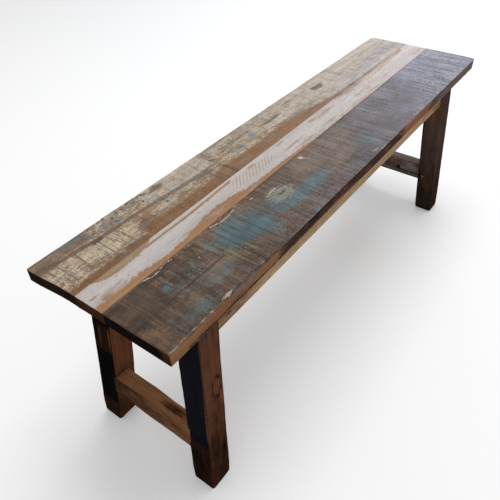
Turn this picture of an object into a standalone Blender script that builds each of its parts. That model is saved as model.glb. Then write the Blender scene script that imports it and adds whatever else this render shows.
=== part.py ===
"""Backless plank bench of reclaimed timber: three seat boards on a splayed, pegged frame.

Metres, +Z up. The origin lies on the floor under the middle of the seat. +X runs along the
bench, so "left" is the -X end and "right" the +X end. "Front" is the -Y side, "back" the +Y side.
"""
import math

import bmesh
import bpy
from mathutils import Vector

# Driving dimensions
LENGTH = 1.200              # seat, end to end
SEAT_WIDTH = 0.303          # seat, front edge to back edge
HEIGHT = 0.457              # floor to the top of the seat
BOARD_THICKNESS = 0.0247
FRONT_SEAM = (-0.0205, -0.0165)     # front to middle board, at the left and the right end
BACK_SEAM = (0.0408, 0.0465)        # middle to back board, at the left and the right end
END_OVERHANG = 0.078        # seat end to the outer face of a leg, at the leg's top
SIDE_OVERHANG = 0.025       # seat edge to the outer face of a leg, at the leg's top
LEG_X = 0.0524              # leg section along the bench
LEG_Y = 0.0504              # leg section across the bench
SPLAY_X = 0.0403            # how far a foot stands out past its leg's top, along the bench
SPLAY_Y = 0.0278            # the same, across the bench
RAIL_HEIGHT = 0.070         # aprons and upper end rails
RAIL_THICKNESS = 0.022
RAIL_INSET = 0.004          # rail face behind the leg's outer face
STRETCHER_BOTTOM = 0.096
STRETCHER_TOP = 0.1485
STRETCHER_DEPTH = 0.032
BEARER_X = 0.200            # the two cross bearers stand this far each side of the middle
BEARER_HEIGHT = 0.050

# Joinery
GAP = 0.0003                # between pieces that touch
SEAM = 0.0006               # between two seat boards
TENON_THICKNESS = 0.010
TENON_LENGTH = 0.026        # from the leg's inner face at its top
TENON_SHOULDER = 0.010      # above and below a rail's tenon
STRETCHER_TENON_THICKNESS = 0.012
STRETCHER_TENON_LENGTH = 0.028
STRETCHER_TENON_SHOULDER = 0.008
BEARER_TENON_LENGTH = 0.010
BEARER_TENON_THICKNESS = 0.012
PEG_RADIUS = 0.004
PEG_PLAY = 0.0005           # hole radius beyond the peg's, so that the flats keep clear
PEG_STAND = 0.0005          # a peg's head stands this proud of the leg
APRON_PEG_INSET = 0.0144    # peg's axis from the leg's inner face at its top
APRON_PEG_DROP = 0.027      # peg's axis below the leg's top
END_RAIL_PEG_INSET = 0.0126
END_RAIL_PEG_DROP = 0.047
STRETCHER_PEG_INSET = 0.014
TONGUE_LENGTH = 1.100
TONGUE_WIDTH = 0.018
TONGUE_THICKNESS = 0.006

# Wood screws, driven upwards into the seat from deep counterbores
SCREW_LENGTH = 0.050
SCREW_RADIUS = 0.002
SCREW_HEAD_RADIUS = 0.004
SCREW_HEAD_HEIGHT = 0.0025
SCREW_TIP = 0.006
SCREW_SLOT_WIDTH = 0.0012
SCREW_SLOT_DEPTH = 0.0011
SCREW_GRIP = 0.034          # timber between the head and the seat
SCREW_PLAY = 0.0004
COUNTERBORE_RADIUS = 0.0052
APRON_SCREW_X = (-0.300, 0.0, 0.300)
END_RAIL_SCREW_Y = {"front": -0.048, "middle": 0.012, "back": 0.064}
BEARER_SCREW_Y = {"front": -0.078, "middle": 0.012, "back": 0.080}

# Softened edges
CORNER_RADIUS = 0.006       # seat corners, seen from above
SEAT_EDGE_RADIUS = 0.0022
LEG_EDGE_RADIUS = 0.003
FOOT_EDGE_RADIUS = 0.005
RAIL_EDGE_RADIUS = 0.0015
ROUND_SEGMENTS = 12         # around a peg or a screw

SEAT_UNDERSIDE = HEIGHT - BOARD_THICKNESS
LEG_TOP = SEAT_UNDERSIDE - GAP
RAIL_BOTTOM = SEAT_UNDERSIDE - RAIL_HEIGHT
SCREW_HEAD_Z = LEG_TOP - SCREW_GRIP
ENDS = {"left": -1, "right": 1}
SIDES = {"front": -1, "back": 1}


def outer_x(z):
    """Distance from the middle to a leg's outer face along the bench, at height z."""
    return LENGTH / 2 - END_OVERHANG + SPLAY_X * (1 - z / LEG_TOP)


def outer_y(z):
    """Distance from the middle to a leg's outer face across the bench, at height z."""
    return SEAT_WIDTH / 2 - SIDE_OVERHANG + SPLAY_Y * (1 - z / LEG_TOP)


def inner_x(z):
    return outer_x(z) - LEG_X


def inner_y(z):
    return outer_y(z) - LEG_Y


def clear_scene():
    for item in list(bpy.data.objects):
        bpy.data.objects.remove(item, do_unlink=True)


# ---------------------------------------------------------------- materials
def material(name, colour, roughness, metallic=0.0):
    made = bpy.data.materials.new(name)
    made.use_nodes = True
    shader = made.node_tree.nodes["Principled BSDF"]
    shader.inputs["Base Color"].default_value = (*colour, 1.0)
    shader.inputs["Roughness"].default_value = roughness
    shader.inputs["Metallic"].default_value = metallic
    made.diffuse_color = (*colour, 1.0)
    return made


def cream_paint():
    return material("cream_painted_board", (0.36, 0.29, 0.20), 0.55)


def white_paint():
    return material("white_painted_board", (0.52, 0.46, 0.41), 0.55)


def dark_paint():
    return material("dark_weathered_board", (0.10, 0.085, 0.078), 0.50)


def painted_leg():
    return material("painted_leg", (0.055, 0.036, 0.027), 0.55)


def tan_timber():
    return material("tan_timber", (0.20, 0.12, 0.065), 0.60)


def brown_timber():
    return material("brown_timber", (0.12, 0.062, 0.03), 0.60)


def peg_timber():
    return material("peg_timber", (0.14, 0.08, 0.045), 0.60)


def screw_steel():
    return material("screw_steel", (0.45, 0.44, 0.42), 0.35, 1.0)


# ---------------------------------------------------------------- building tools
def hexahedron(corner):
    """A six-faced block. corner(i, j, k) gives the place of each corner, i, j and k being 0 or 1."""
    bm = bmesh.new()
    at = {}
    for i in (0, 1):
        for j in (0, 1):
            for k in (0, 1):
                at[i, j, k] = bm.verts.new(corner(i, j, k))
    for fixed in (0, 1):
        ring = ((0, 0), (1, 0), (1, 1), (0, 1))
        bm.faces.new([at[fixed, a, b] for a, b in ring])
        bm.faces.new([at[a, fixed, b] for a, b in ring])
        bm.faces.new([at[a, b, fixed] for a, b in ring])
    bmesh.ops.recalc_face_normals(bm, faces=bm.faces)
    return bm


def box(low, high):
    """A plain box between two corners, which may be given in any order."""
    return hexahedron(lambda i, j, k: ((low[0], high[0])[i], (low[1], high[1])[j], (low[2], high[2])[k]))


def turned(profile):
    """A round solid about Z from (radius, z) points that start and end on the axis."""
    bm = bmesh.new()
    points = [bm.verts.new((radius, 0.0, z)) for radius, z in profile]
    edges = [bm.edges.new(pair) for pair in zip(points, points[1:])]
    bmesh.ops.spin(bm, geom=points + edges, cent=(0, 0, 0), axis=(0, 0, 1),
                   angle=2 * math.pi, steps=ROUND_SEGMENTS, use_merge=True)
    bmesh.ops.remove_doubles(bm, verts=bm.verts, dist=1e-6)
    bmesh.ops.recalc_face_normals(bm, faces=bm.faces)
    return bm


def soften(bm, chosen, radius, segments=2):
    """Round the edges for which chosen(first end, second end) is true."""
    edges = [edge for edge in bm.edges if chosen(edge.verts[0].co, edge.verts[1].co)]
    bmesh.ops.bevel(bm, geom=edges, offset=radius, offset_type="OFFSET", segments=segments,
                    profile=0.5, affect="EDGES", clamp_overlap=True)
    bmesh.ops.remove_doubles(bm, verts=bm.verts, dist=1e-5)
    bmesh.ops.dissolve_degenerate(bm, edges=bm.edges, dist=1e-6)


def mesh_of(name, bm):
    mesh = bpy.data.meshes.new(name)
    bm.to_mesh(mesh)
    bm.free()
    return mesh


def place(name, shape, finish=None, location=(0, 0, 0), rotation=(0, 0, 0)):
    """Put a shape, given in the bench's frame less its location, into the scene."""
    mesh = shape if isinstance(shape, bpy.types.Mesh) else mesh_of(name, shape)
    item = bpy.data.objects.new(name, mesh)
    item.location = location
    item.rotation_euler = rotation
    bpy.context.scene.collection.objects.link(item)
    if finish and not mesh.materials:
        mesh.materials.append(finish)
    return item


def recentred(bm, centre):
    bmesh.ops.translate(bm, verts=bm.verts, vec=-Vector(centre))
    return bm


def tool(name, shape, location=(0, 0, 0), rotation=(0, 0, 0)):
    """A shape that cuts or adds to a piece and isn't a piece itself."""
    item = place(name, shape, location=location, rotation=rotation)
    item.hide_render = True
    item.display_type = "WIRE"
    return item


def combine(piece, other, operation):
    step = piece.modifiers.new(f"{operation}_{other.name}"[:60], "BOOLEAN")
    step.operation = operation
    step.solver = "EXACT"
    step.object = other


def smooth(item, angle=35):
    item.data.shade_smooth()
    item.data.set_sharp_from_angle(angle=math.radians(angle))


# ---------------------------------------------------------------- seat
def seat_board(name, front, back, finish):
    """One board between two edges, each given by its place at the left and the right end.

    Its outer corners and edges are softened, and its seam edges stay crisp.
    """
    half = LENGTH / 2
    centre = (0, (sum(front) + sum(back)) / 4, SEAT_UNDERSIDE + BOARD_THICKNESS / 2)
    rim = SEAT_WIDTH / 2
    bm = hexahedron(lambda i, j, k: ((-half, half)[i], (front, back)[j][i], (SEAT_UNDERSIDE, HEIGHT)[k]))

    def on_rim(point):
        return abs(abs(point.y) - rim) < 1e-5 or abs(abs(point.x) - half) < 1e-5

    def outer_corner(a, b):
        return abs(a.z - b.z) > 1e-4 and abs(abs(a.y) - rim) < 1e-5

    def rim_edge(a, b):
        middle = (a + b) / 2
        level = abs(a.z - b.z) < 1e-5
        on_corner = abs(middle.x) > half - CORNER_RADIUS and abs(middle.y) > rim - CORNER_RADIUS
        return level and (on_rim(middle) or on_corner)

    soften(bm, outer_corner, CORNER_RADIUS, 3)
    soften(bm, rim_edge, SEAT_EDGE_RADIUS)
    return place(name, recentred(bm, centre), finish, centre)


def beside(seam, way):
    """The edge of a board half a seam's width in front of (-1) or behind (1) a seam."""
    return [y + way * SEAM / 2 for y in seam]


def seat():
    rim = SEAT_WIDTH / 2
    return {
        "front": seat_board("seat_board_front", (-rim, -rim), beside(FRONT_SEAM, -1), dark_paint()),
        "middle": seat_board("seat_board_middle", beside(FRONT_SEAM, 1), beside(BACK_SEAM, -1),
                             white_paint()),
        "back": seat_board("seat_board_back", beside(BACK_SEAM, 1), (rim, rim), cream_paint()),
    }


def seat_tongue(side, seam, boards, finish):
    """A loose tongue glued into a groove of each of two neighbouring boards."""
    centre = (0, sum(seam) / 2, SEAT_UNDERSIDE + BOARD_THICKNESS / 2)
    turn = (0, 0, math.atan2(seam[1] - seam[0], LENGTH))
    size = (TONGUE_LENGTH / 2, TONGUE_WIDTH / 2, TONGUE_THICKNESS / 2)
    room = [half + GAP for half in size]
    place(f"seat_tongue_{side}", box([-half for half in size], size), finish, centre, turn)
    groove = tool(f"groove_{side}", box([-half for half in room], room), centre, turn)
    for board in boards:
        combine(board, groove, "DIFFERENCE")


# ---------------------------------------------------------------- frame
def leg(end, side, finish):
    """A square leg that leans outwards both ways, its top and its foot cut level."""
    sx = ENDS[end]
    sy = SIDES[side]
    foot = (sx * (outer_x(0) - LEG_X / 2), sy * (outer_y(0) - LEG_Y / 2), 0)

    def corner(i, j, k):
        z = k * LEG_TOP
        return (sx * (outer_x(z) - i * LEG_X), sy * (outer_y(z) - j * LEG_Y), z)

    bm = hexahedron(corner)
    soften(bm, lambda a, b: abs(a.z - b.z) > LEG_TOP / 2, LEG_EDGE_RADIUS)
    soften(bm, lambda a, b: max(a.z, b.z) < 1e-5, FOOT_EDGE_RADIUS)
    for vertex in bm.verts:
        if abs(vertex.co.z) < 1e-5:
            vertex.co.z = 0.0
    return place(f"leg_{end}_{side}", recentred(bm, foot), finish, foot)


def peg(name, start, stop, rotation, pieces, finish):
    """A round peg between two points, and its hole in the leg and the tenon."""
    start = Vector(start)
    stop = Vector(stop)
    length = (stop - start).length
    middle = (start + stop) / 2
    half = length / 2
    ease = PEG_RADIUS / 5
    body = turned([(0, -half), (PEG_RADIUS - ease, -half), (PEG_RADIUS, ease - half),
                   (PEG_RADIUS, half), (0, half)])
    reach = half + 10 * PEG_STAND
    bore = PEG_RADIUS + PEG_PLAY
    hole = turned([(0, -reach), (bore, -reach), (bore, half + GAP), (0, half + GAP)])
    smooth(place(name, body, finish, middle, rotation))
    cutter = tool(f"hole_{name}", hole, middle, rotation)
    for piece in pieces:
        combine(piece, cutter, "DIFFERENCE")


def peg_across(name, sy, x, y_in, y_out, z, pieces, finish):
    """A peg along Y whose head is on the leg's inner face."""
    tilt = -sy * math.pi / 2
    peg(name, (x, sy * y_in, z), (x, sy * y_out, z), (tilt, 0, 0), pieces, finish)


def peg_along(name, sx, x_in, x_out, y, z, pieces, finish):
    """A peg along X whose head is on the leg's inner face."""
    tilt = sx * math.pi / 2
    peg(name, (sx * x_in, y, z), (sx * x_out, y, z), (0, tilt, 0), pieces, finish)


def tenon(name, low, high, rail, host):
    """Add a box tenon to a rail and cut its mortise in the host."""
    pairs = list(zip(low, high))
    low = Vector([min(pair) for pair in pairs])
    high = Vector([max(pair) for pair in pairs])
    combine(rail, tool(f"tenon_{name}", box(low, high)), "UNION")
    room = Vector((GAP, GAP, GAP))
    combine(host, tool(f"mortise_{name}", box(low - room, high + room)), "DIFFERENCE")


def apron(side, legs, finish, peg_finish):
    """The long rail under one edge of the seat, tenoned and pegged into two legs."""
    sy = SIDES[side]
    face = outer_y(LEG_TOP) - RAIL_INSET
    middle = face - RAIL_THICKNESS / 2

    def corner(i, j, k):
        z = (RAIL_BOTTOM, LEG_TOP)[k]
        return ((-1, 1)[i] * (inner_x(z) - GAP), sy * (face - j * RAIL_THICKNESS), z)

    bm = hexahedron(corner)
    soften(bm, lambda a, b: abs(a.x - b.x) > LENGTH / 2 and min(a.z, b.z) < LEG_TOP - GAP,
           RAIL_EDGE_RADIUS)
    rail = place(f"apron_{side}", bm, finish)
    low_z = RAIL_BOTTOM + TENON_SHOULDER
    high_z = LEG_TOP - TENON_SHOULDER
    for end, sx in ENDS.items():
        host = legs[end, side]
        tip = inner_x(LEG_TOP) + TENON_LENGTH
        root = inner_x(LEG_TOP) - TENON_LENGTH
        tenon(f"apron_{end}_{side}",
              (sx * root, sy * middle - TENON_THICKNESS / 2, low_z),
              (sx * tip, sy * middle + TENON_THICKNESS / 2, high_z), rail, host)
        x = sx * (inner_x(LEG_TOP) + APRON_PEG_INSET)
        z = LEG_TOP - APRON_PEG_DROP
        peg_across(f"peg_apron_{end}_{side}", sy, x, inner_y(z) - PEG_STAND,
                   middle + TENON_THICKNESS, z, (rail, host), peg_finish)
    return rail


def end_rail(end, legs, finish, peg_finish):
    """The short upper rail between the two legs of one end."""
    sx = ENDS[end]
    face = outer_x(LEG_TOP) - RAIL_INSET
    middle = face - RAIL_THICKNESS / 2

    def corner(i, j, k):
        z = (RAIL_BOTTOM, LEG_TOP)[k]
        return (sx * (face - i * RAIL_THICKNESS), (-1, 1)[j] * (inner_y(z) - GAP), z)

    bm = hexahedron(corner)
    soften(bm, lambda a, b: abs(a.y - b.y) > SEAT_WIDTH / 4 and min(a.z, b.z) < LEG_TOP - GAP,
           RAIL_EDGE_RADIUS)
    rail = place(f"end_rail_{end}", bm, finish)
    low_z = RAIL_BOTTOM + TENON_SHOULDER
    high_z = LEG_TOP - TENON_SHOULDER
    for side, sy in SIDES.items():
        host = legs[end, side]
        tip = inner_y(LEG_TOP) + TENON_LENGTH
        root = inner_y(LEG_TOP) - TENON_LENGTH
        tenon(f"end_rail_{end}_{side}",
              (sx * middle - TENON_THICKNESS / 2, sy * root, low_z),
              (sx * middle + TENON_THICKNESS / 2, sy * tip, high_z), rail, host)
        y = sy * (inner_y(LEG_TOP) + END_RAIL_PEG_INSET)
        z = LEG_TOP - END_RAIL_PEG_DROP
        peg_along(f"peg_end_rail_{end}_{side}", sx, inner_x(z) - PEG_STAND,
                  middle + TENON_THICKNESS, y, z, (rail, host), peg_finish)
    return rail


def low_stretcher(end, legs, finish, peg_finish):
    """The low rail between the two legs of one end, flush with their outer faces."""
    sx = ENDS[end]
    mid_z = (STRETCHER_BOTTOM + STRETCHER_TOP) / 2
    middle = outer_x(mid_z) - STRETCHER_DEPTH / 2

    def corner(i, j, k):
        z = (STRETCHER_BOTTOM, STRETCHER_TOP)[k]
        x = outer_x(z) - GAP - i * STRETCHER_DEPTH
        return (sx * x, (-1, 1)[j] * (inner_y(z) - GAP), z)

    bm = hexahedron(corner)
    soften(bm, lambda a, b: abs(a.y - b.y) > SEAT_WIDTH / 4, RAIL_EDGE_RADIUS)
    rail = place(f"low_stretcher_{end}", bm, finish)
    low_z = STRETCHER_BOTTOM + STRETCHER_TENON_SHOULDER
    high_z = STRETCHER_TOP - STRETCHER_TENON_SHOULDER
    for side, sy in SIDES.items():
        host = legs[end, side]
        tip = inner_y(mid_z) + STRETCHER_TENON_LENGTH
        root = inner_y(mid_z) - STRETCHER_TENON_LENGTH
        tenon(f"low_stretcher_{end}_{side}",
              (sx * middle - STRETCHER_TENON_THICKNESS / 2, sy * root, low_z),
              (sx * middle + STRETCHER_TENON_THICKNESS / 2, sy * tip, high_z), rail, host)
        y = sy * (inner_y(mid_z) + STRETCHER_PEG_INSET)
        peg_along(f"peg_stretcher_{end}_{side}", sx, inner_x(mid_z) - PEG_STAND,
                  middle + STRETCHER_TENON_THICKNESS, y, mid_z, (rail, host), peg_finish)
    return rail


def seat_bearer(end, aprons, finish):
    """A cross bearer between the two aprons, stub-tenoned into them."""
    x = ENDS[end] * BEARER_X
    apron_back = outer_y(LEG_TOP) - RAIL_INSET - RAIL_THICKNESS
    shoulder = apron_back - GAP
    bottom = LEG_TOP - BEARER_HEIGHT
    half = RAIL_THICKNESS / 2
    bm = box((x - half, -shoulder, bottom), (x + half, shoulder, LEG_TOP))
    soften(bm, lambda a, b: max(a.z, b.z) < bottom + GAP and abs(a.y - b.y) > half,
           RAIL_EDGE_RADIUS)
    bearer = place(f"seat_bearer_{end}", bm, finish)
    half_tenon = BEARER_TENON_THICKNESS / 2
    for side, sy in SIDES.items():
        tenon(f"bearer_{end}_{side}",
              (x - half_tenon, sy * (shoulder - BEARER_TENON_LENGTH), bottom + TENON_SHOULDER),
              (x + half_tenon, sy * (shoulder + BEARER_TENON_LENGTH), LEG_TOP - TENON_SHOULDER),
              bearer, aprons[side])
    return bearer


# ---------------------------------------------------------------- screws
def screw_mesh(finish):
    """A slotted countersunk wood screw that points up, its head's flat face at z = 0."""
    body = place("screw_pattern", turned([
        (0, 0), (SCREW_HEAD_RADIUS, 0), (SCREW_RADIUS, SCREW_HEAD_HEIGHT),
        (SCREW_RADIUS, SCREW_LENGTH - SCREW_TIP), (0, SCREW_LENGTH)]), finish)
    smooth(body)
    half = (2 * SCREW_HEAD_RADIUS, SCREW_SLOT_WIDTH / 2, SCREW_SLOT_DEPTH)
    slot = tool("screw_slot", box([-side for side in half], half))
    combine(body, slot, "DIFFERENCE")
    evaluated = body.evaluated_get(bpy.context.evaluated_depsgraph_get())
    mesh = bpy.data.meshes.new_from_object(evaluated)
    mesh.name = "wood_screw"
    bpy.data.objects.remove(body)
    bpy.data.objects.remove(slot)
    return mesh


def screw_hole_mesh():
    """Counterbore, countersink, clearance hole and pilot hole in one shape."""
    shank = SCREW_RADIUS + SCREW_PLAY
    head = SCREW_HEAD_RADIUS + SCREW_PLAY
    return mesh_of("screw_hole", turned([
        (0, -RAIL_HEIGHT), (COUNTERBORE_RADIUS, -RAIL_HEIGHT), (COUNTERBORE_RADIUS, -GAP),
        (head, 0), (shank, SCREW_HEAD_HEIGHT), (shank, SCREW_LENGTH + GAP),
        (0, SCREW_LENGTH + GAP)]))


def screw(name, x, y, mesh, hole, pieces):
    place(name, mesh, location=(x, y, SCREW_HEAD_Z))
    cutter = tool(f"hole_{name}", hole, (x, y, SCREW_HEAD_Z))
    for piece in pieces:
        combine(piece, cutter, "DIFFERENCE")


def seat_screws(boards, aprons, rails, bearers):
    mesh = screw_mesh(screw_steel())
    hole = screw_hole_mesh()
    y = outer_y(LEG_TOP) - RAIL_INSET - RAIL_THICKNESS / 2
    for side, sy in SIDES.items():
        for number, x in enumerate(APRON_SCREW_X, 1):
            screw(f"screw_apron_{side}_{number}", x, sy * y, mesh, hole, (aprons[side], boards[side]))
    rail_x = outer_x(LEG_TOP) - RAIL_INSET - RAIL_THICKNESS / 2
    for end, sx in ENDS.items():
        for board, y in END_RAIL_SCREW_Y.items():
            screw(f"screw_end_rail_{end}_{board}", sx * rail_x, y, mesh, hole,
                  (rails[end], boards[board]))
        for board, y in BEARER_SCREW_Y.items():
            screw(f"screw_bearer_{end}_{board}", sx * BEARER_X, y, mesh, hole,
                  (bearers[end], boards[board]))


# ---------------------------------------------------------------- the bench
def bench():
    clear_scene()
    frame_finish = painted_leg()
    rail_finish = tan_timber()
    stretcher_finish = brown_timber()
    peg_finish = peg_timber()
    boards = seat()
    seat_tongue("front", FRONT_SEAM, (boards["front"], boards["middle"]), peg_finish)
    seat_tongue("back", BACK_SEAM, (boards["middle"], boards["back"]), peg_finish)
    legs = {(end, side): leg(end, side, frame_finish) for end in ENDS for side in SIDES}
    aprons = {side: apron(side, legs, rail_finish, peg_finish) for side in SIDES}
    rails = {end: end_rail(end, legs, rail_finish, peg_finish) for end in ENDS}
    for end in ENDS:
        low_stretcher(end, legs, stretcher_finish, peg_finish)
    bearers = {end: seat_bearer(end, aprons, rail_finish) for end in ENDS}
    seat_screws(boards, aprons, rails, bearers)

    root = bpy.data.objects.new("bench", None)
    bpy.context.scene.collection.objects.link(root)
    for item in list(bpy.context.scene.collection.objects):
        if item is not root:
            item.parent = root


bench()
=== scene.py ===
"""The looks of a backless bench of reclaimed, partly painted timber, built around its CAD frame.

Metres, +Z up, in the frame of the CAD: +X runs along the bench to its right end, +Y from its front
to its back. Each worn timber is a closed mesh made of rounded sections along its grain. It carries
float attributes (masks of paint, bare wood, stains, and of a few painted sheens, a painted highlight
and a painted shadow) that its node material reads, and a vector attribute "timber" that holds the
place along and across the grain. The masks are placed in millimetres, and everything else is in metres.
"""
import functools
import math

import bpy
import numpy as np
from mathutils import Matrix, Vector


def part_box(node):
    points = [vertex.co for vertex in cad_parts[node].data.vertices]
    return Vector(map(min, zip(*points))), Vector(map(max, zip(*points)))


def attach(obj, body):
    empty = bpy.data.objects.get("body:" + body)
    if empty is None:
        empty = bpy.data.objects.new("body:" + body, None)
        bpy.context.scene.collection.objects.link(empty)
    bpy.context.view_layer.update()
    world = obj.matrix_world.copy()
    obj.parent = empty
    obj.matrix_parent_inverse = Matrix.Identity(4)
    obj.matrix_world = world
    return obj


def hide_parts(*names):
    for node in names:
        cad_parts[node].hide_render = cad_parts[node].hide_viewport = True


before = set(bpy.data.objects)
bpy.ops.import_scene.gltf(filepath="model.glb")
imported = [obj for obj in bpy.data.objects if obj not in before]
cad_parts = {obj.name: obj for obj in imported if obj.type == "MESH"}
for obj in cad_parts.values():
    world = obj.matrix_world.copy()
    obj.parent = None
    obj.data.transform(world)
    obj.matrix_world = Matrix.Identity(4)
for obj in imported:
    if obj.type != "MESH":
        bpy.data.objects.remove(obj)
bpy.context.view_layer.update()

# Camera: where it stands, which way it looks, and its lens
CAMERA_AT = (-0.8746, -0.5033, 1.0183)
CAMERA_AZIMUTH = -52.42         # degrees; 0 looks along +Y
CAMERA_ELEVATION = 41.28        # degrees below the horizon
CAMERA_ROLL = -2.05             # degrees, anticlockwise
CAMERA_LENS = 37.99             # mm
CAMERA_SENSOR = 36.0            # mm

# Floor and light
FLOOR_HALF = 14.0
FLOOR_GLOW = 0.20
WORLD_STRENGTH = 0.56

# Timber sizes that the CAD boxes don't give
END_SLICE = 0.008               # how near an end a CAD vertex counts as part of it
INTO_LEG = 0.004                # a rail's visible body runs this far into the leg
SEAM_RADIUS = 0.0003            # the sharpest corner of a worn timber
SEAM_FILL = 0.00015             # the worn boards are this much wider than the CAD's at each seam
NEAR_RADIUS = 0.002             # the seat's corners, seen from above
FAR_BACK_RADIUS = 0.016
FAR_FRONT_RADIUS = 0.012
SKEW = 0.005                    # how far the back board's near end is cut out of square
WEAR = 0.0003                   # how far a worn face lies under the CAD's
UNEVEN = (0.05, 0.02, 0.02)     # the waves in a worn face, along and across the grain
BOARD_STEP = 0.003              # mesh steps along the timbers
LEG_STEP = 0.004
STRETCHER_STEP = 0.003
STRETCHER_REACH = 0.0963        # from the middle to the legs' inner faces
STRETCHER_MIDDLE = 0.09         # the CAD vertices this near the middle aren't on a tenon
EDGE_SLICE = 0.003              # how near the top or the bottom a CAD vertex counts as part of it

# For the masks, in millimetres
BOARD_THICKNESS = 24.7
BOARD_LOW = 457 - BOARD_THICKNESS
LINE_REACH = 9                  # how far from a thin line its mask falls to 0
BARE = {"rust": 0, "paint": 0, "black": 0, "smudge": 0}

# The brushed strokes in the middle board's paint
COMB_STEP = 0.0105
COMB_SLANT = 1.2                # metres along the board for each metre across it


# ---------------------------------------------------------------- noise and masks on points
def most(*parts):
    """The highest of some arrays or numbers, place by place."""
    return functools.reduce(np.maximum, parts)


def lattice(points, cell, seed):
    """Smooth noise from -1 to 1 at (n, 3) points. cell is the feature size, one number or three."""
    scaled = points / np.array(cell, float) + 17.31 * (seed + 1)
    base = np.floor(scaled).astype(np.int64)
    part = scaled - base
    part = part * part * (3 - 2 * part)
    total = np.zeros(len(points))
    for corner in np.ndindex(2, 2, 2):
        spot = base + corner
        mixed = spot[:, 0] * 73856093 ^ spot[:, 1] * 19349663 ^ spot[:, 2] * 83492791 ^ seed * 2654435
        mixed = (mixed ^ (mixed >> 13)) * 1274126177 & 0xFFFFFFFF
        value = ((mixed ^ (mixed >> 16)) & 0xFFFF) / 32767.5 - 1
        weight = np.prod(np.where(corner, part, 1 - part), axis=1)
        total += value * weight
    return total


def spots(x, y, places):
    """The strongest of some soft ellipses: each is (x, y, half length, half width, strength)."""
    found = np.zeros(len(x))
    for cx, cy, rx, ry, strength in places:
        reach = np.hypot((x - cx) / rx, (y - cy) / ry)
        found = np.maximum(found, strength * np.clip(1.35 - 0.85 * reach, 0, 1))
    return found


def fade(value, start, stop):
    """0 at start, 1 at stop, smooth between."""
    share = np.clip((value - start) / (stop - start), 0, 1)
    return share * share * (3 - 2 * share)


def band(value, low, high, soft):
    """1 between low and high, with soft ends."""
    return fade(value, low - soft, low + soft) * (1 - fade(value, high - soft, high + soft))


def distance(x, y, points):
    """How far each place is from a line through the points."""
    nearest = np.full(len(x), 1e9)
    for (ax, ay), (bx, by) in zip(points, points[1:]):
        dx = bx - ax
        dy = by - ay
        share = np.clip(((x - ax) * dx + (y - ay) * dy) / (dx * dx + dy * dy), 0, 1)
        nearest = np.minimum(nearest, np.hypot(x - ax - share * dx, y - ay - share * dy))
    return nearest


def trace(x, y, points, width):
    """1 along a line through the points, falling to a half at half the width from it."""
    return np.clip(1.5 - distance(x, y, points) / (width / 2), 0, 1)


def thin(x, y, lines):
    """A slow fall from 1 on the lines to 0 at LINE_REACH, for lines that are finer than the mesh."""
    return most(*(1 - distance(x, y, points) / LINE_REACH for points in lines))


def above(x, y, edge, softness):
    """0 below a line given by its (x, y) points, 1 above it, with a soft step between."""
    line = np.interp(x, [p[0] for p in edge], [p[1] for p in edge])
    return np.clip(0.5 + (y - line) / softness, 0, 1)


def add_object(name, data):
    """A new object in the scene."""
    made = bpy.data.objects.new(name, data)
    bpy.context.scene.collection.objects.link(made)
    return made


def tone(red, green, blue):
    """A colour given as sRGB numbers up to 255, in linear light."""
    shares = [c / 255 for c in (red, green, blue)]
    return tuple(c / 12.92 if c < 0.04045 else ((c + 0.055) / 1.055) ** 2.4 for c in shares)


# ---------------------------------------------------------------- worn timber meshes
def section(half, radii, counts, arc=4):
    """A rounded rectangle as (a, b) rows, anticlockwise from +a+b.

    radii holds an (along a, along b) pair for each corner, and counts the points between the
    corners on the +b, -a, -b and +a side.
    """
    signs = ((1, 1), (-1, 1), (-1, -1), (1, -1))
    arcs = []
    for quarter, ((sa, sb), (ra, rb)) in enumerate(zip(signs, radii)):
        turn = np.linspace(quarter, quarter + 1, arc + 1) * math.pi / 2
        arcs.append(np.stack([sa * (half[0] - ra) + ra * np.cos(turn),
                              sb * (half[1] - rb) + rb * np.sin(turn)], axis=1))
    rows = []
    for quarter, count in enumerate(counts):
        rows.append(arcs[quarter])
        start = arcs[quarter][-1]
        stop = arcs[(quarter + 1) % 4][0]
        share = np.linspace(0, 1, count + 2)[1:-1, None]
        rows.append(start + share * (stop - start))
    return np.concatenate(rows)


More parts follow.
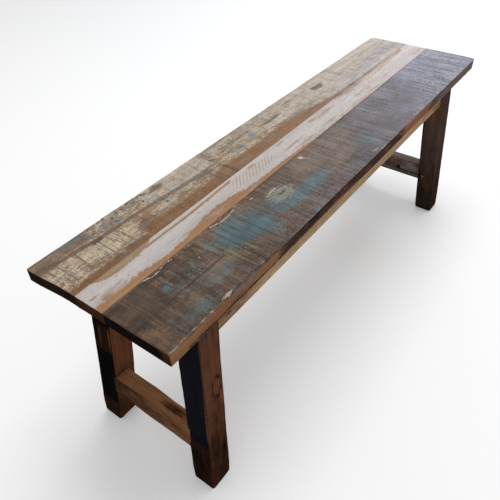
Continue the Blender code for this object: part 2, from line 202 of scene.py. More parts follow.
class Timber:
    """A straight timber between two end sections, each given as a (low, high) box corner pair.

    The grain runs along axis. counts is as in section(), radius(corner, place along) gives the
    (along a, along b) radii of a long edge, and end_radius is that of the first and the last end.
    plan maps (side of a, end) to the radius of a corner that is rounded as seen from above.
    """

    def __init__(self, name, axis, first, last, step, counts, radius, end_radius, seed, plan=None):
        self.name = name
        self.axis = axis
        self.a_axis = (axis + 1) % 3
        self.b_axis = (axis + 2) % 3
        self.first = [np.array(corner, float) for corner in first]
        self.last = [np.array(corner, float) for corner in last]
        self.counts = counts
        self.radius = radius
        self.end_radius = end_radius
        self.plan = plan or {}
        self.seed = seed
        self.low = self.first[0][axis]
        self.length = self.last[1][axis] - self.low
        self.step = step

    def stations(self):
        """Where the sections are, from the first end to the last: (place, inset, scale) each."""
        fine = max(*self.end_radius, *self.plan.values())
        count = int((self.length - 2 * fine) / self.step) + 1
        places = [(s, 0.0, 1.0) for s in np.linspace(fine, self.length - fine, count)]
        near, far = [self.rounded_end(soft, fine) for soft in self.end_radius]
        return near + places + [(self.length - s, inset, scale) for s, inset, scale in reversed(far)]

    def rounded_end(self, soft, fine):
        """Sections over a rounded end: each is (place, inset, scale), up to the place called fine."""
        turns = np.linspace(0, math.pi / 2, 5)[:-1]
        over = [(soft * (1 - math.cos(t)), soft * (1 - math.sin(t)), 1.0) for t in turns]
        extra = [(soft + (fine - soft) * k / 6, 0.0, 1.0) for k in range(6)] if fine > soft else []
        return [(0.0, soft, scale) for scale in (0.35, 0.7, 0.97)] + over + extra

    def build(self):
        """Make the mesh. local keeps each vertex's place along and across the timber."""
        rows = []
        local = []
        for along, inset, scale in self.stations():
            share = along / self.length
            low = self.first[0] + share * (self.last[0] - self.first[0])
            high = self.first[1] + share * (self.last[1] - self.first[1])
            low[self.a_axis] += self.cut(-1, along)
            high[self.a_axis] -= self.cut(1, along)
            centre = (low + high) / 2
            half = (high - low) / 2
            size = (half[self.a_axis] - inset, half[self.b_axis] - inset)
            radii = [[max(r - 0.4 * inset, SEAM_RADIUS) for r in self.radius(corner, along)]
                     for corner in range(4)]
            ring = section(size, radii, self.counts) * scale
            points = np.zeros((len(ring), 3))
            points[:, self.axis] = self.low + along
            points[:, self.a_axis] = centre[self.a_axis] + ring[:, 0]
            points[:, self.b_axis] = centre[self.b_axis] + ring[:, 1]
            rows.append(points)
            local.append(np.column_stack([np.full(len(ring), along), ring]))
        around = len(rows[0])
        faces = [(i * around + j, i * around + (j + 1) % around,
                  (i + 1) * around + (j + 1) % around, (i + 1) * around + j)
                 for i in range(len(rows) - 1) for j in range(around)]
        faces.append(tuple(reversed(range(around))))
        last = (len(rows) - 1) * around
        faces.append(tuple(range(last, last + around)))
        mesh = bpy.data.meshes.new(self.name)
        mesh.from_pydata(np.concatenate(rows).tolist(), [], faces)
        mesh.update()
        self.local = np.concatenate(local)
        self.piece = add_object(self.name, mesh)
        return self

    def cut(self, side, along):
        """How much a rounded corner takes from one side at this place along the timber."""
        taken = 0.0
        for (corner_side, end), radius in self.plan.items():
            gap = along if end == 0 else self.length - along
            if corner_side == side and gap < radius:
                taken = max(taken, radius - math.sqrt(radius * radius - (radius - gap) ** 2))
        return taken

    def read(self, what):
        flat = np.zeros(len(self.local) * 3)
        self.piece.data.vertices.foreach_get(what, flat)
        return flat.reshape(-1, 3)

    def points(self):
        return self.read("co")

    def normals(self):
        return self.read("normal")

    def move(self, by):
        """Move the vertices by metres along X, Y and Z."""
        self.piece.data.vertices.foreach_set("co", (self.points() + by).ravel())
        self.piece.data.update()

    def push(self, depth):
        """Move each vertex along its normal by its own depth in metres."""
        self.move(self.normals() * depth[:, None])

    def mask(self, name, values):
        """Store a mask, from 0 to 1 at each vertex, for the material."""
        layer = self.piece.data.attributes.new(name, "FLOAT", "POINT")
        flat = np.zeros(len(self.local)) + np.clip(values, 0, 1)
        layer.data.foreach_set("value", flat.astype(np.float32))

    def masks(self, share, table):
        """Masks that are all limited to one share of the surface."""
        for name, values in table.items():
            self.mask(name, share * values)

    def finish(self, material, node, slot, matt=None):
        """Write the grain coordinates, smooth the mesh, give it its materials, parent it to the root body and
        hide its CAD node.

        matt is the material for every face that doesn't look up.
        """
        shifted = self.local + np.array([self.seed * 1.7, self.seed * 0.31, self.seed * 0.47])
        layer = self.piece.data.attributes.new("timber", "FLOAT_VECTOR", "POINT")
        layer.data.foreach_set("vector", shifted.astype(np.float32).ravel())
        self.mask("end", np.abs(self.normals()[:, self.axis]) ** 2 * 1.5 - 0.4)
        self.piece.data.shade_smooth()
        self.piece.data.materials.append(material)
        if matt:
            self.piece.data.materials.append(matt)
            for face in self.piece.data.polygons:
                face.material_index = 0 if face.normal.z > 0.6 else 1
        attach(self.piece, "root")
        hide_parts(node)
        return self.piece


def worn(base, seed, wave=0.05, amount=0.5, chips=0.0, wane=None, crisp=()):
    """A corner radius that varies along the timber. wane(corner, along) adds to single corners.

    The crisp corners are those that meet the next board at a seam.
    """
    def radius(corner, along):
        if corner in crisp:
            return (SEAM_RADIUS, SEAM_RADIUS)
        at = np.array([[along, corner * 3.1, 0.0]])
        size = base * (1 + amount * lattice(at, wave, seed)[0] + 0.3 * lattice(at, wave / 4, seed + 5)[0])
        size += chips * max(0.0, lattice(at, 0.012, seed + 9)[0] - 0.45)
        extra = wane(corner, along) if wane else (0.0, 0.0)
        return tuple(max(max(size, 0.0005) + more, SEAM_RADIUS) for more in extra)
    return radius


def end_box(node, axis, high):
    """The box of a CAD node's vertices near its low or its high end along an axis."""
    points = np.array([v.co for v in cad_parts[node].data.vertices])
    limit = points[:, axis].max() if high else points[:, axis].min()
    near = points[np.abs(points[:, axis] - limit) < END_SLICE]
    low, top = near.min(axis=0), near.max(axis=0)
    low[axis] = top[axis] = limit
    return low, top


def board_ends(node, low_seam, high_seam):
    """The end boxes of a seat board, widened a little at its seams."""
    ends = (end_box(node, 0, False), end_box(node, 0, True))
    for low, high in ends:
        low[1] -= SEAM_FILL * low_seam
        high[1] += SEAM_FILL * high_seam
    return ends


# ---------------------------------------------------------------- node helper
class Graph:
    """Builds a material's nodes. A method takes sockets, numbers or tuples and returns a socket.

    along is None where the mesh has the timber attribute, or else the axis of the grain.
    """

    def __init__(self, name, specular=0.5, along=None):
        self.along = along
        self.material = bpy.data.materials.new(name)
        self.material.use_nodes = True
        self.tree = self.material.node_tree
        self.shader = self.tree.nodes["Principled BSDF"]
        self.shader.inputs["Specular IOR Level"].default_value = specular

    def feed(self, node, values):
        """Link or set a node's inputs, each given by its name or number."""
        for key, value in values.items():
            socket = node.inputs[key]
            if isinstance(value, bpy.types.NodeSocket):
                self.tree.links.new(value, socket)
            elif isinstance(value, tuple) and len(socket.default_value) == 4:
                socket.default_value = (*value, 1.0)
            else:
                socket.default_value = value

    def node(self, kind, values=(), **settings):
        """A new node, with its settings and what goes into its inputs."""
        made = self.tree.nodes.new("ShaderNode" + kind)
        for key, value in settings.items():
            setattr(made, key, value)
        self.feed(made, values if isinstance(values, dict) else dict(enumerate(values)))
        return made

    def math(self, operation, a, b=0.0, c=0.0):
        return self.node("Math", (a, b, c), operation=operation).outputs[0]

    def vector(self, operation, *values):
        return self.node("VectorMath", values, operation=operation)

    def add(self, *values):
        total = values[0]
        for value in values[1:]:
            total = self.math("ADD", total, value)
        return total

    def times(self, a, b):
        return self.math("MULTIPLY", a, b)

    def step(self, value, low, high, start=0.0, stop=1.0):
        """A smooth step of value from low to high, turned into start to stop."""
        values = (value, low, high, start, stop)
        return self.node("MapRange", values, interpolation_type="SMOOTHSTEP").outputs[0]

    def mask(self, name):
        return self.node("Attribute", attribute_name=name).outputs["Fac"]

    def grain(self, stretch):
        """The place along and across the grain in metres, times a stretch."""
        return self.vector("MULTIPLY", self.place(), stretch).outputs[0]

    def turned(self, angle, stretch):
        """As grain(), with the first two directions turned by an angle."""
        turn = self.node("VectorRotate", {"Vector": self.place(), "Angle": angle}, rotation_type="Z_AXIS")
        return self.vector("MULTIPLY", turn.outputs[0], stretch).outputs[0]

    def parts(self, vector):
        """The three numbers of a vector."""
        return self.node("SeparateXYZ", (vector,)).outputs

    def place(self):
        """The place along and across the grain in metres."""
        if self.along is None:
            return self.node("Attribute", attribute_name="timber").outputs["Vector"]
        parts = self.parts(self.node("TexCoord").outputs["Object"])
        return self.node("CombineXYZ", [parts[(self.along + k) % 3] for k in range(3)]).outputs[0]

    def rings(self, pith, spacing, wobble=1.2):
        """Growth rings about a line along the grain: -1 to 1 across each ring."""
        shift = self.vector("ADD", self.grain((0.0, 1.0, 1.0)), (0.0, *pith))
        reach = self.vector("LENGTH", shift.outputs[0])
        bend = self.times(self.streaks(3.5, 14, 2), wobble)
        turns = self.math("MULTIPLY_ADD", reach.outputs["Value"], 2 * math.pi / spacing, bend)
        return self.math("SINE", turns)

    def noise(self, vector, detail, roughness=0.55, distortion=0.0):
        """Noise, spread so that it runs from about -1 to 1."""
        made = self.node("TexNoise", {"Vector": vector, "Scale": 1.0, "Detail": detail,
                                      "Roughness": roughness, "Distortion": distortion})
        return self.math("MULTIPLY_ADD", made.outputs["Fac"], 4.0, -2.0)

    def streaks(self, along, across, detail, roughness=0.55, distortion=0.0):
        """Noise with so many features to the metre along the grain and across it."""
        return self.noise(self.grain((along, across, across)), detail, roughness, distortion)

    def scale(self, colour, factor):
        return self.node("VectorMath", {0: colour, "Scale": factor}, operation="SCALE").outputs[0]

    def mix(self, share, a, b):
        """Between two colours."""
        return self.node("Mix", {0: share, 6: a, 7: b}, data_type="RGBA").outputs[2]

    def finish(self, colour, roughness, height, depth, strength=0.6):
        bump = self.node("Bump", {"Strength": strength, "Distance": depth, "Height": height})
        self.feed(self.shader, {"Base Color": colour, "Roughness": roughness, "Normal": bump.outputs[0]})
        return self.material


# ---------------------------------------------------------------- shared looks of timber
class Wood(Graph):
    """A timber's material: wood grain, then ragged coats of paint and stain, then saw marks."""

    def __init__(self, name, along=None, specular=0.02):
        super().__init__(name, along=along, specular=specular)
        self.fibre = self.streaks(7, 260, 5, 0.65)
        self.broad = self.streaks(3, 34, 3, distortion=0.4)
        self.edges = {
            "along": self.streaks(22, 150, 5, 0.62),
            "across": self.streaks(170, 15, 4, 0.7),
            "chip": self.streaks(75, 120, 6, 0.72),
        }
        self.flake = self.streaks(230, 300, 3, 0.7)
        self.blot = self.streaks(26, 44, 3, 0.55)
        self.height = self.times(self.fibre, 0.25)
        self.rough = self.math("MULTIPLY_ADD", self.fibre, 0.04, 0.55)

    def timber(self, light, mid, dark, pith=(0.03, -0.07), spacing=0.0045):
        """Bare wood from its three tones, given as sRGB numbers."""
        light, mid, dark = tone(*light), tone(*mid), tone(*dark)
        colour = self.mix(self.step(self.broad, -1.1, 1.1), mid, light)
        ring = self.add(self.times(self.rings(pith, spacing), 0.6), self.times(self.fibre, 0.6))
        colour = self.mix(self.step(ring, 0.1, 1.3, 0.0, 0.55), colour, dark)
        pores = self.streaks(70, 1400, 2)
        colour = self.mix(self.step(pores, 0.55, 1.3, 0.0, 0.5), colour, dark)
        self.height = self.add(self.times(ring, 0.18), self.height, self.times(pores, -0.12))
        return colour

    def coat(self, under, name, light, dark, edge="chip", ragged=0.35, soft=0.08, limit=1.0,
             flaky=0.18, blotted=0.12, raised=0.0, gloss=None):
        """One coat over a colour where the mask and its ragged edge say so.

        edge names the noise of the coat's edge, and ragged, flaky and blotted say how much of that
        noise, of flakes and of blots it has. soft is the edge's softness, and limit the most that
        the coat covers. raised is its thickness in the bump, and gloss its roughness.
        """
        mask = self.mask(name)
        level = self.add(mask, self.times(self.edges[edge], ragged), self.times(self.flake, flaky),
                         self.times(self.blot, blotted))
        share = self.times(self.step(level, 0.5 - soft, 0.5 + soft, 0.0, limit), self.step(mask, 0.0, 0.14))
        over = self.mix(self.step(self.add(self.broad, self.times(self.fibre, 0.5)), -1.2, 1.2), dark, light)
        if raised:
            self.carve(share, -raised)
        if gloss is not None:
            self.rough = self.node("Mix", {0: share, 2: self.rough, 3: gloss}).outputs[0]
        return self.mix(share, under, over)

    def coats(self, under, table):
        """Coats one over the other. A row is what coat() takes, with the two tones as sRGB numbers."""
        for name, light, dark, *rest in table:
            under = self.coat(under, name, tone(*light), tone(*dark), *rest)
        return under

    def carve(self, share, amount):
        """Lower the bump where share says so, or raise it with an amount below 0."""
        self.height = self.add(self.height, self.times(share, -amount))

    def weather(self, colour, amount):
        """Uneven brightness at every scale from a hand's breadth to a millimetre."""
        mottle = self.streaks(26, 60, 8, 0.8)
        return self.scale(colour, self.step(mottle, -1.3, 1.3, 1 - amount, 1 + amount))

    def saw_marks(self, colour, amount, deep=0.5, pale_share=0.35, pale_tone=(0.5, 0.43, 0.35), clear=0.62):
        """Fine dark and pale lines across the grain, stronger in some places than others.

        The nearer clear is to 0.18, the sharper the dark lines.
        """
        fine = self.streaks(300, 7, 3, 0.7)
        wide = self.streaks(110, 5, 2, 0.5)
        lines = self.add(self.times(fine, 0.85), self.times(wide, 0.5))
        where = self.step(self.streaks(9, 22, 2), -0.6, 0.9, 0.25, 1.0)
        dark = self.times(self.step(lines, 0.18, clear), where)
        pale = self.times(self.step(lines, -0.25, -0.75), where)
        colour = self.mix(self.times(dark, amount), colour, (0.02, 0.014, 0.010))
        colour = self.mix(self.times(pale, self.times(amount, pale_share)), colour, pale_tone)
        self.height = self.add(self.height, self.times(self.times(dark, -1.0), deep))
        return colour

    def done(self, colour, depth=0.0006, strength=0.7):
        return self.finish(colour, self.rough, self.height, depth, strength)


# ---------------------------------------------------------------- back board: chipped cream paint
def cream_board(name, specular):
    g = Wood(name, specular=specular)
    g.rough = g.math("MULTIPLY_ADD", g.fibre, 0.05, 0.46)
    colour = g.timber((152, 126, 100), (128, 102, 79), (88, 67, 51))
    colour = g.coats(colour, [
        ("warm", (144, 103, 66), (116, 80, 49), "along", 0.3, 0.25, 0.95),
        ("cream", (198, 183, 158), (170, 154, 131), "chip", 0.55, 0.12, 0.94, 0.58, 0.12, 0.6, 0.42),
        ("white", (190, 179, 164), (166, 152, 136), "across", 0.3, 0.14, 0.93, 0.4, 0.12, 0.5, 0.42),
        # Lilac paint in places; towards the far end it is partly a painted sheen.
        ("lilac_and_sheen", (172, 163, 166), (150, 140, 143), "chip", 0.35, 0.2, 0.6)])
    slate = g.streaks(130, 200, 4, 0.7)
    tan = g.streaks(100, 170, 4, 0.7)
    speck = g.step(g.add(g.mask("speckle"), g.times(g.blot, 0.15)), 0.3, 0.5)
    flecks = (
        (tan, 0.26, 0.36, 1.0, (194, 182, 164)), (tan, -0.3, -0.42, 0.9, (170, 124, 78)),
        (slate, 0.06, 0.18, 1.0, (92, 108, 114)), (slate, 0.34, 0.46, 1.0, (46, 50, 52)))
    for kind, low, high, limit, shade in flecks:
        colour = g.mix(g.times(speck, g.step(kind, low, high, 0.0, limit)), colour, tone(*shade))
    colour = g.coat(colour, "brown", tone(120, 96, 75), tone(92, 72, 57), "along", 0.4, 0.16, 0.88, flaky=0.3)
    cross = g.streaks(260, 16, 3, 0.6)
    lengthwise = g.streaks(8, 230, 2, 0.5)
    lines = g.math("MAXIMUM", g.step(cross, 0.16, 0.4), g.step(lengthwise, 0.38, 0.6, 0.0, 0.8))
    scratched = g.times(g.mask("scratch"), g.times(lines, g.step(g.flake, -0.7, 0.3, 0.3, 1.0)))
    colour = g.mix(g.math("MINIMUM", scratched, 0.8), colour, tone(104, 81, 60))
    g.carve(scratched, 0.7)
    colour = g.coats(colour, [
        ("blue", (116, 142, 158), (56, 90, 116), "chip", 0.5, 0.06, 0.95, 0.9, 0.12, 0.3),
        ("teal", (118, 130, 130), (86, 102, 106), "along", 0.6, 0.1, 0.75, 0.5),
        ("dark", (86, 73, 62), (58, 48, 41), "along", 0.35, 0.2, 0.85)])
    colour = g.weather(g.saw_marks(colour, 0.45, 0.4), 0.3)
    colour = g.coats(colour, [
        ("side", (74, 54, 42), (48, 34, 27), "along", 0.2, 0.2, 0.97),
        ("end", (44, 32, 27), (28, 20, 17), "chip", 0.15, 0.2, 0.98)])
    return g.done(colour)


def build_back_board(step):
    node = "seat_board_back"
    board = Timber(
        "seat_board_back_worn", 0, *board_ends(node, 1, 0), step, (round(0.108 / step), 5, 22, 5),
        worn(0.0016, 11, wave=0.04, amount=0.5, chips=0.0016, crisp=(1, 2)), (0.0018, 0.0022), 3,
        {(1, 0): NEAR_RADIUS, (1, 1): FAR_BACK_RADIUS}).build()
    x, y = 1000 * board.points().T[:2]
    board.move(np.outer(-SKEW * (1 - fade(x, -600, -500)) * fade(y, 60, 150), (1, 0, 0)))
    up = board.normals()[:, 2]
    top = fade(up, 0.3, 0.8)
    warm = most(
        1 - above(x, y, [
            (-600, 53), (-430, 56), (-410, 68), (-240, 68), (-200, 80), (-160, 78), (-120, 74), (20, 76),
            (130, 63), (200, 52), (600, 46)], 10),
        spots(x, y, [(-410, 78, 24, 22, 0.8), (-330, 138, 20, 8, 0.9)]))
    cream = most(
        (0.7 - 0.26 * spots(x, y, [(-555, 73, 50, 12, 1)])) * band(x, -620, -430, 10) * band(y, 62, 114, 4),
        spots(x, y, [
            (-435, 88, 40, 22, 0.78), (-345, 87, 40, 12, 0.74), (-460, 63, 50, 10, 0.62),
            (-270, 83, 50, 12, 0.62), (-120, 85, 60, 10, 0.62), (-560, 60, 40, 6, 0.7),
            (-220, 119, 20, 6, 0.7), (-130, 140, 60, 6, 0.6)]),
        0.44 * band(y, 70, 155, 10) * band(x, -420, 20, 30), 0.31)
    dark = most(
        spots(x, y, [
            (222.5, 111, 23, 10, 0.95), (212, 114, 18, 8, 0.95), (-490, 111, 14, 5, 0.85),
            (-195, 114, 4, 3, 0.9), (-590, 100, 4, 2, 0.8)]), 0.62 * trace(x, y, [(190, 48.5), (470, 48)], 4))
    board.masks(top, {
        "warm": warm,
        "cream": cream * (1 - 0.8 * warm),
        "white": most(
            0.72 * band(x, -370, -190, 10) * band(y, 102, 160, 4),
            0.52 * band(x, -200, -20, 20) * band(y, 110, 160, 6),
            (0.57 + 0.22 * fade(x, 50, 300)) * fade(x, -160, -20)
                * above(x, y, [(-160, 105), (-100, 100), (20, 82), (130, 66), (200, 53), (600, 44)], 12),
            spots(x, y, [
                (-150, 135, 50, 8, 0.6), (10, 95, 50, 10, 0.78), (-335, 106.5, 6, 4, 0.9),
                (-120, 88, 40, 4, 0.7)])),
        # Lilac paint, and a painted sheen that rises towards the far end.
        "lilac_and_sheen": 0.55 * band(x, 200, 700, 100) * (1 - fade(y, 60, 130)) + 0.25 * fade(x, 200, 500),
        "speckle": most(
            0.8 * band(x, -485, -355, 15) * band(y, 121.5, 158, 4),
            spots(x, y, [(-425, 135, 50, 14, 1), (-380, 137, 30, 12, 1)])),
        "brown": most(
            0.62 * band(x, -620, -490, 10) * band(y, 124, 160, 3),
            0.95 * trace(x, y, [
                (-600, 122), (-540, 119), (-490, 112), (-400, 110), (-375, 106.5), (-300, 101),
                (-225, 94)], 9),
            spots(x, y, [
                (-410, 82, 10, 16, 0.62), (-325, 138, 18, 10, 0.9), (-120, 122, 70, 4, 0.56),
                (-90, 108, 90, 3, 0.52), (10, 110, 45, 5, 0.75), (-250, 88, 40, 4, 0.6),
                (-150, 147, 120, 3, 0.6), (-170, 108, 50, 12, 0.5), (100, 128, 50, 3, 0.55),
                (100, 99, 30, 8, 0.42), (-300, 79, 40, 6, 0.55), (460, 128, 20, 8, 0.45)]),
            0.5 * trace(x, y, [(400, 118), (470, 126), (550, 122)], 3)),
        "scratch": most(
            0.95 * band(x, -598, -440, 10) * band(y, 64, 116, 4),
            0.35 * band(x, -370, -180, 20) * band(y, 100, 150, 5), 0.12),
        "teal": most(
            spots(x, y, [
                (-545, 143, 60, 7, 0.62), (-470, 128, 30, 8, 0.5), (-115, 93, 35, 5, 0.55),
                (90, 80, 60, 5, 0.5), (-430, 75, 25, 6, 0.5)]), 0.16),
        "blue": 0.66 * spots(x, y, [
            (-572, 77.5, 2.2, 12, 1), (-551, 72, 1.8, 8, 0.8), (-340, 90, 9, 4, 0.8), (-312, 85, 5, 4, 0.75),
            (-355, 111.5, 5, 3, 0.8), (-141, 99, 5, 8, 0.9), (-65, 101.5, 11, 9, 0.9), (-75, 94, 9, 5, 0.85),
            (12.5, 98, 5, 4, 0.9), (-152.5, 60, 6, 4, 0.7), (179, 100, 2.5, 13, 0.62), (145, 93, 5, 3, 0.5),
            (-500, 131, 10, 5, 0.6)]),
        "dark": dark,
    })
    board.mask("side", 1 - fade(up, 0.2, 0.6))
    free = 1 - fade(-board.normals()[:, 1], 0.2, 0.6)
    hollow = top * spots(x, y, [(220, 111, 20, 9, 1)])
    board.push(-free * (WEAR + WEAR * lattice(board.local, UNEVEN, 4) + 0.0006 * hollow))
    return board.finish(
        cream_board("cream_top", 0.22), node, "cream_painted_board", cream_board("cream_sides", 0.0))


# ---------------------------------------------------------------- middle board: worn white paint
def white_board(name, specular):
    g = Wood(name, specular=specular)
    g.rough = g.math("MULTIPLY_ADD", g.fibre, 0.05, 0.46)
    colour = g.timber((168, 122, 84), (150, 106, 72), (112, 76, 50))
    colour = g.coat(colour, "tan", tone(156, 132, 104), tone(130, 107, 82), "along", 0.25, 0.3, 0.9)
    brushed = g.noise(g.turned(-0.7, (24, 230, 1)), 4, 0.7)
    g.edges["brush"] = g.add(g.times(brushed, 0.8), g.times(g.edges["along"], 0.4))
    colour = g.coat(
        colour, "white", tone(192, 187, 185), tone(177, 169, 165), "brush", 0.34, 0.16, 0.97, raised=0.5,
        gloss=0.4, flaky=0.2, blotted=0.02)
    colour = g.mix(
        g.times(g.mask("brushed"), g.step(brushed, 0.05, 0.5, 0.0, 0.7)), colour, tone(158, 138, 116))
    colour = g.coats(colour, [
        # Pink paint, and towards the far end partly a painted sheen.
        ("pink", (190, 172, 163), (176, 154, 143), "along", 0.5, 0.3, 0.7),
        ("worn", (164, 147, 128), (140, 119, 98), "along", 0.5, 0.15, 0.75, 0.4)])
    place = g.parts(g.place())
    slant = g.add(place[0], g.times(place[1], -COMB_SLANT))
    strokes = g.math("SINE", g.math("MULTIPLY_ADD", slant, 2 * math.pi / COMB_STEP, g.times(g.blot, 0.15)))
    strokes = g.step(g.add(strokes, g.times(g.edges["chip"], 0.25)), 0.1, 0.8, 0.0, 0.7)
    colour = g.mix(g.times(g.mask("comb"), strokes), colour, tone(150, 130, 108))
    colour = g.coats(colour, [
        ("orange", (172, 128, 88), (150, 108, 72), "along", 0.25, 0.12, 0.8, 0.3),
        ("blue", (156, 165, 190), (142, 152, 180), "along", 0.45, 0.2, 0.6, 0.3),
        ("dark", (112, 94, 80), (84, 68, 56), "chip", 0.4, 0.2, 0.65, 0.4)])
    colour = g.weather(g.saw_marks(colour, 0.1, 0.2), 0.12)
    colour = g.coats(colour, [
        ("side", (74, 52, 38), (56, 38, 28), "along", 0.2, 0.2, 0.97),
        ("end", (66, 42, 30), (50, 31, 22), "chip", 0.15, 0.2, 0.98)])
    return g.done(colour)


def build_middle_board(step):
    node = "seat_board_middle"
    board = Timber(
        "seat_board_middle_worn", 0, *board_ends(node, 1, 1), step, (round(0.06 / step), 5, 12, 5),
        worn(0.0012, 12, crisp=(0, 1, 2, 3)), (0.0018, 0.0018), 8).build()
    x, y = 1000 * board.points().T[:2]
    up = board.normals()[:, 2]
    top = fade(up, 0.3, 0.8)
    strip = above(x, y, [
        (-600, -6), (-500, -6), (-450, -12), (-380, -5), (-350, 3), (-310, 6), (-270, 2), (-240, -4),
        (-200, -8.5), (-100, -9.5), (10, -16.5), (600, -22)], 12)
    wedge = above(x, y, [
        (-600, 50), (-575, 46), (-550, 30), (-530, 26.5), (-480, 28), (-460, 33), (-445, 40), (-420, 50),
        (600, 60)], 6)
    sliver = trace(x, y, [(-460, 32), (-350, 31), (-280, 33.5), (-230, 36)], 5)
    far = band(x, 190, 550, 30) * above(x, y, [(0, 37), (600, 36)], 6)
    bare = most(1 - strip, wedge, 0.8 * sliver, 0.7 * far)
    board.masks(top, {
        "tan": most(wedge, sliver, far, 0.4),
        "white": (1 - bare) * (0.82 - 0.14 * (1 - fade(x, -560, -440)) - 0.08 * fade(x, 0, 100)),
        "brushed": most(
            0.8 * band(x, -580, -460, 20) * (1 - fade(y, 0, 20)),
            0.45 * band(x, -400, -250, 40) * (1 - fade(y, 6, 24)), 0.3 * band(x, -250, 50, 30), 0.12) * strip,
        # Pink paint near the front seam, and a painted sheen that rises towards the far end.
        "pink": most(0.15 + 0.35 * fade(x, -50, 400), 0.75 * fade(x, 50, 200) * (1 - fade(y, -14, -4))),
        "worn": spots(x, y, [
            (-560, 4, 40, 7, 0.62), (105, 28, 42, 7, 0.8), (-45, 10, 35, 4, 0.8), (-20, -5, 45, 5, 0.7),
            (220, -12, 40, 4, 0.75), (140, -10, 120, 5, 0.6), (300, -9, 60, 4, 0.5), (-330, -2, 100, 4, 0.55),
            (80, -2, 60, 4, 0.6), (260, 33, 70, 6, 0.7), (400, 30, 90, 6, 0.7), (230, 9, 50, 2, 0.7),
            (560, 0, 30, 20, 0.5), (300, 12, 100, 20, 0.42)]),
        "comb": band(x, -240, -110, 15) * band(y, 7, 31, 6),
        "orange": most(
            spots(x, y, [
                (-165, 33, 13, 3, 0.9), (-62, 34.5, 18, 2.5, 0.9), (62.5, 32, 14, 3, 0.95),
                (385, 8.5, 40, 1.4, 0.5)]), 0.85 * sliver * fade(x, -400, -340)),
        "blue": trace(x, y, [(-440, 7), (-400, 7.8), (-330, 6.5)], 2),
        "dark": most(
            spots(x, y, [(-341, 20, 4, 3, 0.7), (-585, 13, 10, 4, 0.65), (-575, 0, 12, 3, 0.6)]),
            0.6 * trace(x, y, [(190, 9), (290, 8.5)], 1.8)),
    })
    board.mask("side", 1 - fade(up, 0.2, 0.6))
    free = 1 - fade(np.abs(board.normals()[:, 1]), 0.2, 0.6)
    board.push(-free * (WEAR + WEAR * lattice(board.local, UNEVEN, 7)))
    return board.finish(
        white_board("white_top", 0.22), node, "white_painted_board", white_board("white_sides", 0.0))


# ---------------------------------------------------------------- front board: dark stain, old teal paint
def dark_board(name, specular, sawn):
    """Where it is sawn, the tones run across the board with the marks of the saw, or else along it."""
    g = Wood(name, specular=specular)
    g.rough = g.math("MULTIPLY_ADD", g.edges["across"], 0.05, 0.36)
    if sawn:
        g.fibre = g.streaks(240, 8, 4, 0.7)
        g.broad = g.streaks(16, 18, 4)
        g.height = g.times(g.fibre, 0.35)
    cloud = g.streaks(17, 30, 8, 0.72)
    colour = g.mix(g.step(cloud, -0.7, 0.7), tone(52, 40, 30), tone(88, 69, 53))
    lines = g.step(g.fibre, 0.0, 1.2, 0.0, 0.45)
    if sawn:
        lines = g.times(g.step(g.fibre, -0.1, 1.0, 0.0, 0.9), g.mask("ruled"))
    colour = g.mix(lines, colour, tone(44, 34, 27))
    colour = g.coats(colour, [
        ("pale", (134, 112, 92), (104, 85, 69), "across", 0.35, 0.3, 0.85, 0.35),
        ("plum", (108, 96, 106), (70, 59, 63), "across", 0.45, 0.25, 0.9, 0.5),
        # Blue-grey paint towards the far end, and partly a painted sheen: the far light's reflection laid
        # into the colour.
        ("haze", (144, 148, 170), (98, 101, 124), "across", 0.55, 0.18, 0.9, 0.6)])
    fleck = g.times(g.step(g.flake, 0.35, 0.65, 0.0, 0.45), g.step(g.mask("haze"), 0.1, 0.4))
    colour = g.mix(fleck, colour, tone(186, 186, 202))
    colour = g.coats(colour, [
        ("rust", (138, 98, 66), (106, 76, 52), "across", 0.3, 0.45, 0.56, 0.35, 0.2),
        ("mint", (104, 120, 114), (70, 90, 94), "across", 0.5, 0.38, 0.76, 0.4),
        ("teal", (88, 112, 118), (48, 69, 76), "across", 0.55, 0.2, 0.93, 0.3, 0.3, 0.3),
        ("moss", (130, 122, 78), (102, 96, 58), "across", 0.7, 0.12, 0.7, 0.5),
        ("oval", (144, 145, 131), (106, 110, 100), "chip", 0.26, 0.1, 0.9, 0.45, 0.05, 0.4),
        ("dark", (54, 43, 36), (36, 28, 24), "chip", 0.4, 0.35, 0.7),
        ("white", (196, 182, 170), (164, 144, 126), "chip", 0.35, 0.1, 0.9, 0.35, 0.2, 0.6)])
    colour = g.weather(g.saw_marks(colour, g.mask("ruled"), 0.9, 0.4, tone(172, 158, 152), 0.36), 0.22)
    line = g.step(g.add(g.mask("line"), g.times(g.edges["chip"], 0.07)), 0.82, 0.92, 0.0, 0.85)
    colour = g.mix(line, colour, tone(196, 180, 164))
    colour = g.coats(colour, [
        # A pale line on the rounded front top edge: rubbed paint, and partly a painted highlight.
        ("rubbed_edge_and_highlight", (176, 170, 176), (140, 130, 132), "along", 0.35, 0.2, 0.75, 0.3),
        ("tan", (158, 115, 84), (118, 83, 60), "along", 0.35, 0.3, 0.95),
        ("red", (154, 104, 83), (104, 66, 51), "along", 0.45, 0.2, 0.9, 0.4),
        ("taupe", (122, 108, 100), (92, 80, 74), "along", 0.4, 0.25, 0.9),
        # Dark bark on the front face; its thin line along the bottom of the face is a painted shadow.
        ("black", (72, 57, 51), (36, 28, 26), "along", 0.6, 0.16, 0.94, 0.5),
        ("under", (86, 62, 46), (60, 42, 32), "along", 0.2, 0.2, 0.95),
        ("end", (24, 19, 17), (15, 12, 11), "chip", 0.15, 0.2, 0.98),
        ("warm_end", (76, 50, 35), (50, 33, 24), "along", 0.15, 0.3, 0.9)])
    return g.done(colour)


def front_wane(corner, along):
    """The worn top edge near the left end; the bottom edge is sharper than the others."""
    if corner == 1:
        soft = 1 - fade(along, 0.22, 0.30)
        dip = band(along, 0.145, 0.235, 0.03)
        return (0.0030 * soft + 0.006 * dip, 0.0040 * soft + 0.009 * dip)
    return (-0.0009, -0.0009) if corner == 2 else (0.0, 0.0)


